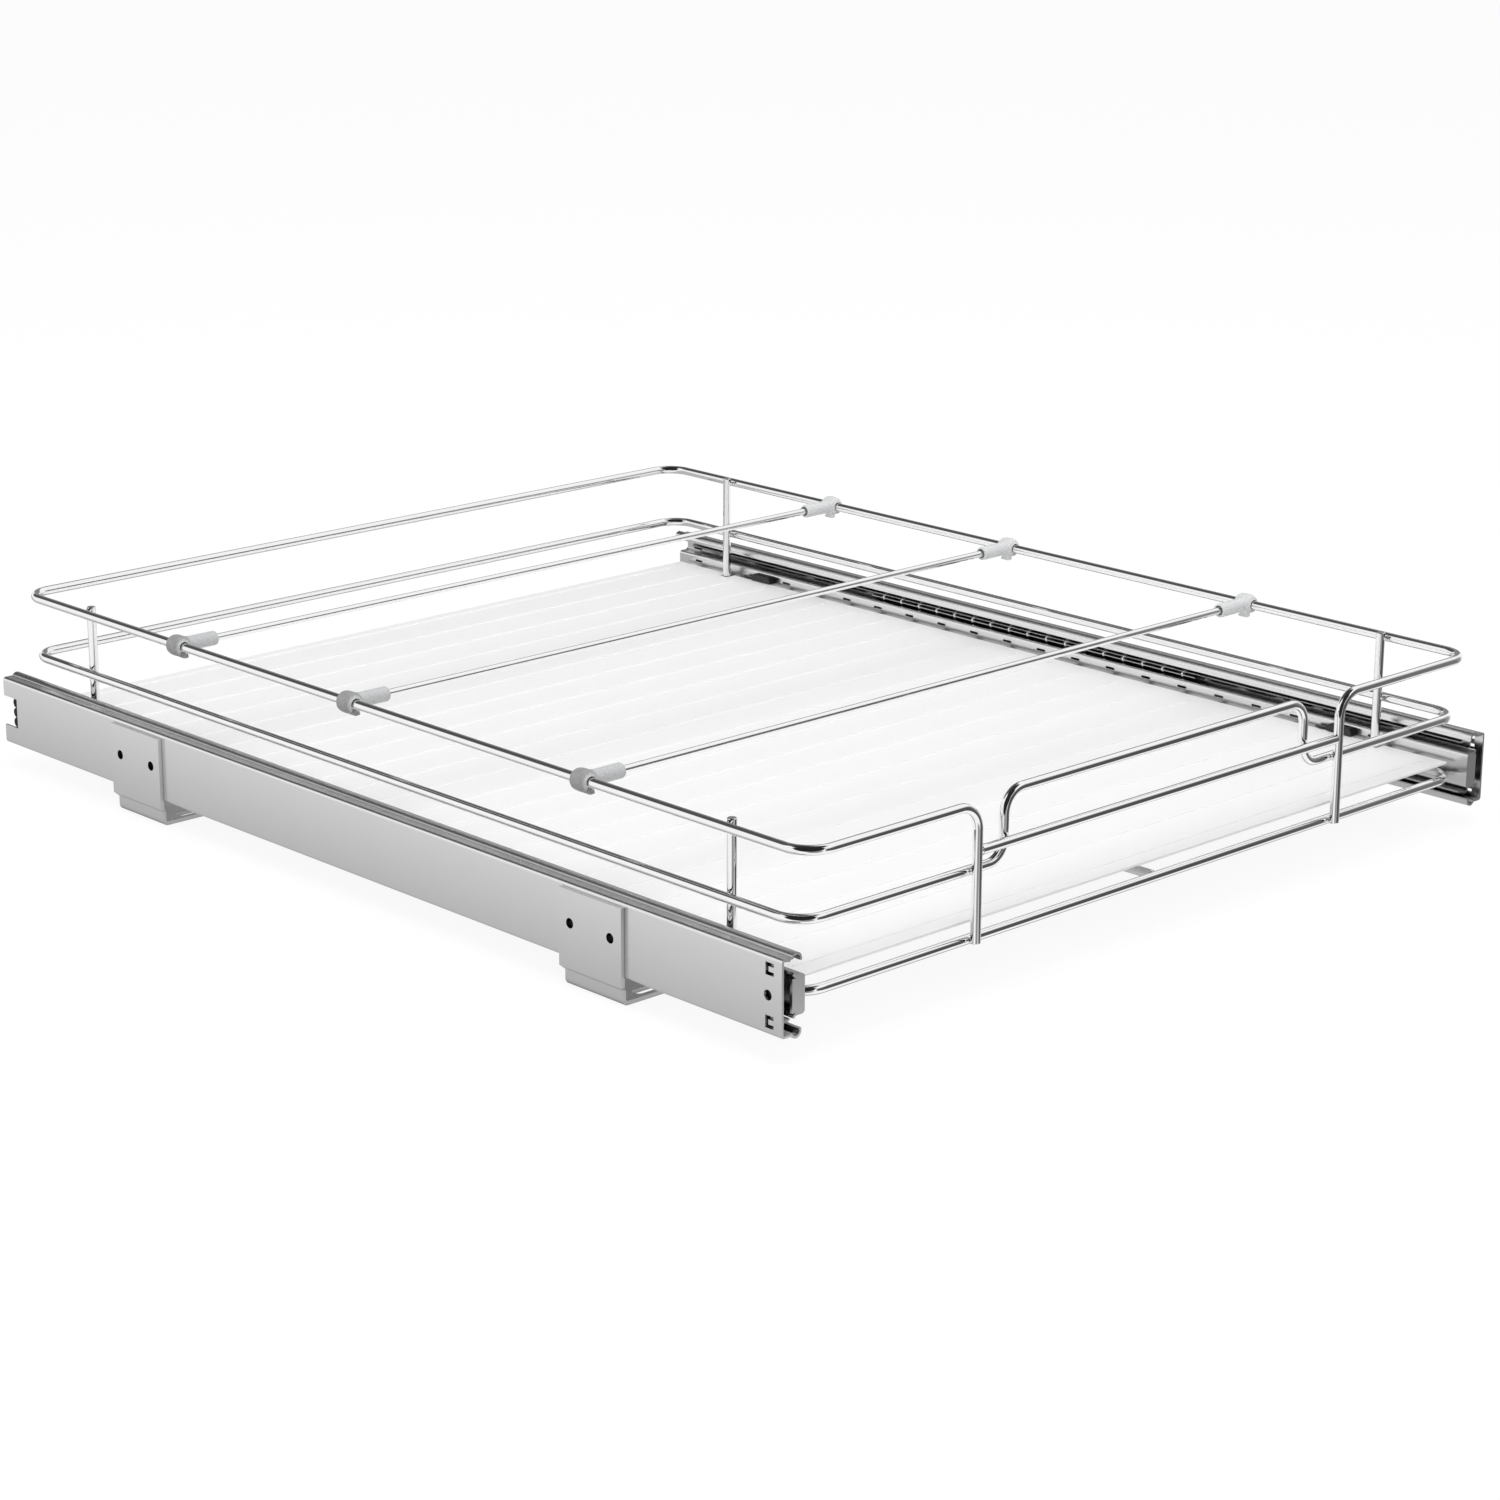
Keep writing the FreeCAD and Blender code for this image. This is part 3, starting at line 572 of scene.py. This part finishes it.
def divider_clip_mesh(sign, name):
    """The moulded clip: a crowned head with a collar, a sleeve, and a neck with a foot under the rail."""
    cell = bpy.context.scene.basket_detail.clip_cell
    body = scratch_object("clip_body", [turned(CLIP_HEAD, "Y"), turned(CLIP_SLEEVE, "X"),
                                        pushed(CLIP_NECK, *CLIP_NECK_ENDS, "X")])
    bore = scratch_object("clip_bore", [turned(CLIP_BORE, "Y")])
    mouth = scratch_object("clip_mouth", [pushed(CLIP_MOUTH, *CLIP_MOUTH_ENDS, "Y")])
    socket = scratch_object("clip_socket", [turned(CLIP_SOCKET, "X")])
    whole = body.modifiers.new("one_skin", "REMESH")
    whole.mode = "VOXEL"
    whole.voxel_size = cell
    for tool in (bore, mouth, socket):
        cut = body.modifiers.new("cut", "BOOLEAN")
        cut.operation = "DIFFERENCE"
        cut.solver = "EXACT"
        cut.object = tool
    again = body.modifiers.new("even_skin", "REMESH")
    again.mode = "VOXEL"
    again.voxel_size = cell
    ease = body.modifiers.new("ease", "SMOOTH")
    ease.factor = 0.5
    ease.iterations = 2
    mesh = baked_mesh(body, name)
    for thing in (body, bore, mouth, socket):
        bpy.data.objects.remove(thing)
    if sign > 0:
        mirror(mesh)
    mesh.materials.append(material_of("grey_nylon" if sign < 0 else "lit_copy_nylon"))
    mesh.shade_smooth()
    return mesh


# The basket's catch: shares of its length, depth and height, and lengths in millimetres.
CATCH_BLOCK_SHARE = 0.64
CATCH_SLANT_SHARE = 0.45
CATCH_FRONT_TOP_SHARE = 0.8       # the front slant's length, of the rear one's
CATCH_FRONT_FACE_SHARE = 0.35
CATCH_FOOT_BULGE = 0.42           # half of the foot's width at its widest
CATCH_FOOT_START = 0.12           # where on the bulge's half wave the foot begins
CATCH_FOOT_HEIGHT_SHARE = 0.28
CATCH_BRIDGE_SIDES = (0.2, 0.8)
CATCH_BRIDGE_HEIGHT_SHARE = 0.2
CATCH_GAP = 0.5                   # from block to foot; the bridge reaches as far into the block
CATCH_BRIDGE_HOLD = 1.0           # how far the bridge reaches into the foot
CATCH_EDGE = 0.35


def basket_clip_mesh(length, depth, height, sign, name):
    """The basket's catch: a block with slanted ends, then a thin pointed foot, on the liner's edge."""
    block_end = length * CATCH_BLOCK_SHARE
    slant = height * CATCH_SLANT_SHARE
    block = [(0.0, 0.0), (block_end, 0.0), (block_end, height * CATCH_SLANT_SHARE),
             (block_end - slant, height), (slant * CATCH_FRONT_TOP_SHARE, height),
             (0.0, height * CATCH_FRONT_FACE_SHARE)]
    foot_start = block_end + CATCH_GAP
    steps = 8
    near, far = [], []
    for step in range(steps + 1):
        share = step / steps
        y = foot_start + share * (length - foot_start)
        bulge = math.sin(math.pi * (CATCH_FOOT_START + (1 - CATCH_FOOT_START) * share))
        far.append((depth * (0.5 + CATCH_FOOT_BULGE * bulge), y))
        near.append((depth * (0.5 - CATCH_FOOT_BULGE * bulge), y))
    foot = far[:-1] + [(depth * 0.5, length)] + near[-2::-1]
    side_a, side_b = (depth * share for share in CATCH_BRIDGE_SIDES)
    bridge_start, bridge_end = block_end - CATCH_GAP, foot_start + CATCH_BRIDGE_HOLD
    bridge = [(side_a, bridge_start), (side_b, bridge_start), (side_b, bridge_end), (side_a, bridge_end)]
    thing = scratch_object(name, [pushed(block, 0.0, depth, "X"),
                                  pushed(foot, 0.0, height * CATCH_FOOT_HEIGHT_SHARE, "Z"),
                                  pushed(bridge, 0.0, height * CATCH_BRIDGE_HEIGHT_SHARE, "Z")])
    soften = thing.modifiers.new("soft_edges", "BEVEL")
    soften.width = CATCH_EDGE * MM
    soften.segments = 2
    soften.limit_method = "ANGLE"
    mesh = baked_mesh(thing, name)
    bpy.data.objects.remove(thing)
    if sign > 0:
        mirror(mesh)
    mesh.materials.append(material_of("black_nylon"))
    return mesh


def place_instead(node_name, mesh, place, body):
    """Put a moulded piece where a CAD node was, on the same body."""
    piece = bpy.data.objects.new("moulded_" + node_name, mesh)
    bpy.context.scene.collection.objects.link(piece)
    piece.location = place
    bpy.context.view_layer.update()
    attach(piece, body)
    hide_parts(node_name)


class BASKET_OT_clips(bpy.types.Operator):
    """Model the moulded clips on the dividers and the catches on the inner slide members"""
    bl_idname = "basket.clips"
    bl_label = "Clips"

    def execute(self, context):
        rail_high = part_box("top_rail")[1]
        bar_low, bar_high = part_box("front_bar")
        radius = (bar_high.z - bar_low.z) / 2
        for side, sign in (("left", -1), ("right", 1)):
            clip = divider_clip_mesh(sign, side + "_divider_clip")
            for place in PLACES:
                node = side + "_" + place + "_divider_clip"
                spot = Vector((sign * (rail_high.x - radius), middle_of(node).y, rail_high.z - radius))
                place_instead(node, clip, spot, place + "_divider")
            for end in ("front", "rear"):
                node = side + "_" + end + "_basket_clip"
                low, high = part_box(node)
                size = (high - low) / MM
                catch = basket_clip_mesh(size.y, size.x, size.z, sign, node)
                spot = Vector((low.x if sign < 0 else high.x, low.y, low.z))
                place_instead(node, catch, spot, "basket")
        return {"FINISHED"}


# The camera that was fitted to the photograph, in metres.
CAMERA_PLACE = Vector((-1.1756, -1.2561, 0.5420))
CAMERA_RIGHT = Vector((0.72628, -0.68739, 0.00358))
CAMERA_FORWARD = Vector((0.65881, 0.69458, -0.28901))
# The unlit parts of the room: direction, degrees fully dark, degrees where white begins, and a share of
# white. The one behind and above the basket draws the dark line along the side rails, the low one beside it
# greys the slides' tops, the next two run overhead to the camera and draw the dark patches in the bends, and
# the last one greys the upright wires.
UNLIT_PARTS = (((0.06, 0.70, 0.71), 27, 35, 0.085), ((0.70, 0.69, 0.20), 15, 24, 0.24),
               ((-0.10, -0.10, 0.99), 28, 38, 0.03), ((-0.58, -0.61, 0.53), 41, 50, 0.02),
               ((-0.41, -0.86, -0.29), 14, 30, 0.30))


def studio_world():
    """A white room with unlit parts. The camera sees pure white, and only the metal sees the dark parts."""
    stage = bpy.context.scene.basket_stage
    world = bpy.data.worlds.new("studio")
    bpy.context.scene.world = world
    world.use_nodes = True
    tree = world.node_tree
    tree.nodes.clear()
    direction = add_node(tree, "ShaderNodeTexCoord")
    room_level = add_node(tree, "ShaderNodeValue")
    room_level.outputs["Value"].default_value = 1.0
    for centre, inside, outside, dark in UNLIT_PARTS:
        nearness = add_node(tree, "ShaderNodeVectorMath", {"operation": "DOT_PRODUCT"},
                            {0: direction.outputs["Generated"]})
        nearness.inputs[1].default_value = Vector(centre).normalized()
        level = add_node(tree, "ShaderNodeMapRange",
                         {"interpolation_type": "SMOOTHSTEP", "From Min": math.cos(math.radians(outside)),
                          "From Max": math.cos(math.radians(inside)), "To Min": 1.0, "To Max": dark},
                         {"Value": nearness.outputs["Value"]})
        room_level = add_node(tree, "ShaderNodeMath", {"operation": "MINIMUM"},
                              {0: room_level.outputs["Value"], 1: level.outputs["Result"]})
    room = add_node(tree, "ShaderNodeBackground", {"Color": (1, 1, 1, 1)},
                    {"Strength": room_level.outputs["Value"]})
    fill = add_node(tree, "ShaderNodeBackground", {"Color": (1, 1, 1, 1), "Strength": stage.sky})
    white = add_node(tree, "ShaderNodeBackground", {"Color": (1, 1, 1, 1), "Strength": 1.0})
    ray = add_node(tree, "ShaderNodeLightPath")
    lit = add_node(tree, "ShaderNodeMixShader", None,
                   {0: ray.outputs["Is Glossy Ray"], 1: fill.outputs[0], 2: room.outputs[0]})
    looked_at = add_node(tree, "ShaderNodeMath", {"operation": "MAXIMUM"},
                         {0: ray.outputs["Is Camera Ray"], 1: ray.outputs["Is Transmission Ray"]})
    seen = add_node(tree, "ShaderNodeMixShader", None,
                    {0: looked_at.outputs["Value"], 1: lit.outputs[0], 2: white.outputs[0]})
    add_node(tree, "ShaderNodeOutputWorld", links={"Surface": seen.outputs[0]})


def floor_material():
    """Matt white sweep. The camera sees it as glowing white paper that keeps the object's shadow. The metal
    doesn't see it at all, and the rest of the scene gets its plain bounce."""
    shadow_grey = "#545454"
    glow_strength = 0.915
    made, tree = new_material("matt_white_sweep")
    bounce = add_node(tree, "ShaderNodeBsdfDiffuse", {"Color": bpy.context.scene.basket_stage.floor})
    paper = add_node(tree, "ShaderNodeBsdfDiffuse", {"Color": linear(shadow_grey)})
    glow = add_node(tree, "ShaderNodeEmission", {"Color": (1, 1, 1, 1), "Strength": glow_strength})
    both = add_node(tree, "ShaderNodeAddShader", None, {0: paper.outputs[0], 1: glow.outputs[0]})
    ray = add_node(tree, "ShaderNodeLightPath")
    shown = add_node(tree, "ShaderNodeMath", {"operation": "MAXIMUM"},
                     {0: ray.outputs["Is Camera Ray"], 1: ray.outputs["Is Transmission Ray"]})
    mix = add_node(tree, "ShaderNodeMixShader", None,
                   {0: shown.outputs["Value"], 1: bounce.outputs[0], 2: both.outputs[0]})
    finish_surface(tree, mix)
    return made


# The grey card to the camera's right, in metres: its distance, its two ends across and its two heights.
CARD_DISTANCE = 0.9
CARD_ENDS = (-1.15, 0.55)
CARD_HEIGHTS = (-0.40, 0.62)
# The card's look: the brightness of its pale end, then, in shares of its length and height, where it turns
# paler and how wide its soft edges are.
CARD_PALE_LEVEL = 0.5
CARD_PALER = (0.6, 0.92)
CARD_SOFT_EDGES = (("X", 0.12, 0.1), ("Y", 0.15, 0.3))


def grey_card_material():
    """Grey card that fades to the room's white at its edges and turns paler from one end to the other."""
    made, tree = new_material("grey_card")
    place = add_node(tree, "ShaderNodeTexCoord")
    parts = add_node(tree, "ShaderNodeSeparateXYZ", None, {"Vector": place.outputs["UV"]})
    level = add_node(tree, "ShaderNodeMapRange",
                     {"From Min": CARD_PALER[0], "From Max": CARD_PALER[1],
                      "To Min": bpy.context.scene.basket_stage.card_level, "To Max": CARD_PALE_LEVEL},
                     {"Value": parts.outputs["X"]})
    masks = []
    for axis, low_edge, high_edge in CARD_SOFT_EDGES:
        rise = add_node(tree, "ShaderNodeMapRange",
                        {"interpolation_type": "SMOOTHSTEP", "From Max": low_edge},
                        {"Value": parts.outputs[axis]})
        fall = add_node(tree, "ShaderNodeMapRange",
                        {"interpolation_type": "SMOOTHSTEP", "From Min": 1.0, "From Max": 1.0 - high_edge},
                        {"Value": parts.outputs[axis]})
        masks.append(add_node(tree, "ShaderNodeMath", {"operation": "MULTIPLY"},
                              {0: rise.outputs["Result"], 1: fall.outputs["Result"]}))
    mask = add_node(tree, "ShaderNodeMath", {"operation": "MULTIPLY"},
                    {0: masks[0].outputs["Value"], 1: masks[1].outputs["Value"]})
    strength = add_node(tree, "ShaderNodeMapRange", {"To Min": 1.0},
                        {"Value": mask.outputs["Value"], "To Max": level.outputs["Result"]})
    finish_surface(tree, add_node(tree, "ShaderNodeEmission", {"Color": (1, 1, 1, 1)},
                                  {"Strength": strength.outputs["Result"]}))
    return made


def grey_card():
    """A grey card to the camera's right, seen only in the metal. It draws the dark line along the wires that
    run across the basket, strongest at the front."""
    away = Vector((CAMERA_RIGHT.x, CAMERA_RIGHT.y, 0)).normalized()
    across = Vector((-away.y, away.x, 0))
    middle = away * CARD_DISTANCE
    shares = ((0, 0), (1, 0), (1, 1), (0, 1))
    points = [middle + across * CARD_ENDS[end] + Z_WAY * CARD_HEIGHTS[height] for end, height in shares]
    mesh = bpy.data.meshes.new("grey_card")
    mesh.from_pydata(points, [], [(0, 1, 2, 3)])
    layer = mesh.uv_layers.new(name="card")
    for loop, share in zip(layer.data, shares):
        loop.uv = share
    mesh.materials.append(grey_card_material())
    return bpy.data.objects.new("grey_card", mesh)


def shaded_paper():
    """The paper beside the slides as the metal sees it: grey in the object's shade, white farther off."""
    shade_level = 0.5
    shade_reach_mm = 170.0
    made, tree = new_material("shaded_paper")
    place = add_node(tree, "ShaderNodeTexCoord")
    parts = add_node(tree, "ShaderNodeSeparateXYZ", None, {"Vector": place.outputs["Object"]})
    aside = add_node(tree, "ShaderNodeMath", {"operation": "ABSOLUTE"}, {0: parts.outputs["X"]})
    slide_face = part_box("right_outer_member")[1].x
    level = add_node(tree, "ShaderNodeMapRange",
                     {"From Min": slide_face, "From Max": slide_face + shade_reach_mm * MM,
                      "To Min": shade_level},
                     {"Value": aside.outputs["Value"]})
    finish_surface(tree, add_node(tree, "ShaderNodeEmission", {"Color": (1, 1, 1, 1)},
                                  {"Strength": level.outputs["Result"]}))
    half_width = 2.0
    back = 2.5
    return level_sheet("shaded_paper", half_width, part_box("left_outer_member")[0].y, back, made)


def level_sheet(name, half_width, front, back, material):
    """A flat sheet on the ground, in metres."""
    mesh = bpy.data.meshes.new(name)
    mesh.from_pydata([(-half_width, front, 0), (half_width, front, 0),
                      (half_width, back, 0), (-half_width, back, 0)], [], [(0, 1, 2, 3)])
    mesh.materials.append(material)
    return bpy.data.objects.new(name, mesh)


def only_in_metal(thing):
    """Let a part of the studio be seen by glossy rays alone."""
    bpy.context.scene.collection.objects.link(thing)
    for ray_kind in ("camera", "diffuse", "shadow", "transmission"):
        setattr(thing, "visible_" + ray_kind, False)


LAMP_PLACE = Vector((-0.4, -0.5, 2.2))
LAMP_SIZE = 2.0


def overhead_softbox():
    """The one lamp, aimed at the middle of the floor. The metal doesn't see it."""
    data = bpy.data.lights.new("overhead_softbox", "AREA")
    data.shape = "SQUARE"
    data.size = LAMP_SIZE
    data.energy = bpy.context.scene.basket_stage.lamp_power
    lamp = bpy.data.objects.new("overhead_softbox", data)
    bpy.context.scene.collection.objects.link(lamp)
    lamp.location = LAMP_PLACE
    lamp.rotation_euler = (-LAMP_PLACE).to_track_quat("-Z", "Y").to_euler()
    lamp.visible_glossy = False


def photo_camera():
    """The camera at the photograph's angle."""
    data = bpy.data.cameras.new("camera")
    data.lens = bpy.context.scene.basket_stage.lens
    data.sensor_width = 36.0
    data.clip_start = 0.05
    camera = bpy.data.objects.new("camera", data)
    bpy.context.scene.collection.objects.link(camera)
    up = CAMERA_RIGHT.cross(CAMERA_FORWARD)
    turn = Matrix((CAMERA_RIGHT, up, -CAMERA_FORWARD)).transposed()
    camera.matrix_world = Matrix.Translation(CAMERA_PLACE) @ turn.to_4x4()
    bpy.context.scene.camera = camera


class BASKET_OT_stage(bpy.types.Operator):
    """Set up the floor, the room and its lamp, and the camera at the photograph's angle"""
    bl_idname = "basket.stage"
    bl_label = "Stage"

    def execute(self, context):
        context.scene.view_settings.view_transform = "Standard"
        half_floor = 6.0
        floor = level_sheet("floor", half_floor, -half_floor, half_floor, floor_material())
        context.scene.collection.objects.link(floor)
        floor.visible_glossy = False
        studio_world()
        only_in_metal(grey_card())
        only_in_metal(shaded_paper())
        overhead_softbox()
        photo_camera()
        return {"FINISHED"}


class BASKET_PT_panel(bpy.types.Panel):
    bl_idname = "BASKET_PT_panel"
    bl_label = "Pull-out basket"
    bl_space_type = "VIEW_3D"
    bl_region_type = "UI"
    bl_category = "Basket"

    def draw(self, context):
        for group in ("basket_finish", "basket_detail", "basket_stage"):
            settings = getattr(context.scene, group)
            box = self.layout.box()
            for name in settings.__annotations__:
                box.prop(settings, name)
        for step in STEPS:
            self.layout.operator(step.bl_idname)


STEPS = (BASKET_OT_slides, BASKET_OT_wires, BASKET_OT_liner, BASKET_OT_clips, BASKET_OT_stage)
GROUPS = {"basket_finish": FinishSettings, "basket_detail": DetailSettings, "basket_stage": StageSettings}


def register():
    for name, group in GROUPS.items():
        bpy.utils.register_class(group)
        setattr(bpy.types.Scene, name, bpy.props.PointerProperty(type=group))
    for step in STEPS:
        bpy.utils.register_class(step)
    bpy.utils.register_class(BASKET_PT_panel)


def unregister():
    bpy.utils.unregister_class(BASKET_PT_panel)
    for step in reversed(STEPS):
        bpy.utils.unregister_class(step)
    for name, group in GROUPS.items():
        delattr(bpy.types.Scene, name)
        bpy.utils.unregister_class(group)


def main():
    for name in ("Cube", "Light", "Camera"):
        if name in bpy.data.objects:
            bpy.data.objects.remove(bpy.data.objects[name])
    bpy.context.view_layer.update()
    register()
    bpy.ops.basket.slides()
    bpy.ops.basket.wires()
    bpy.ops.basket.liner()
    bpy.ops.basket.clips()
    bpy.ops.basket.stage()
    bpy.context.view_layer.update()


if __name__ == "__main__":
    main()
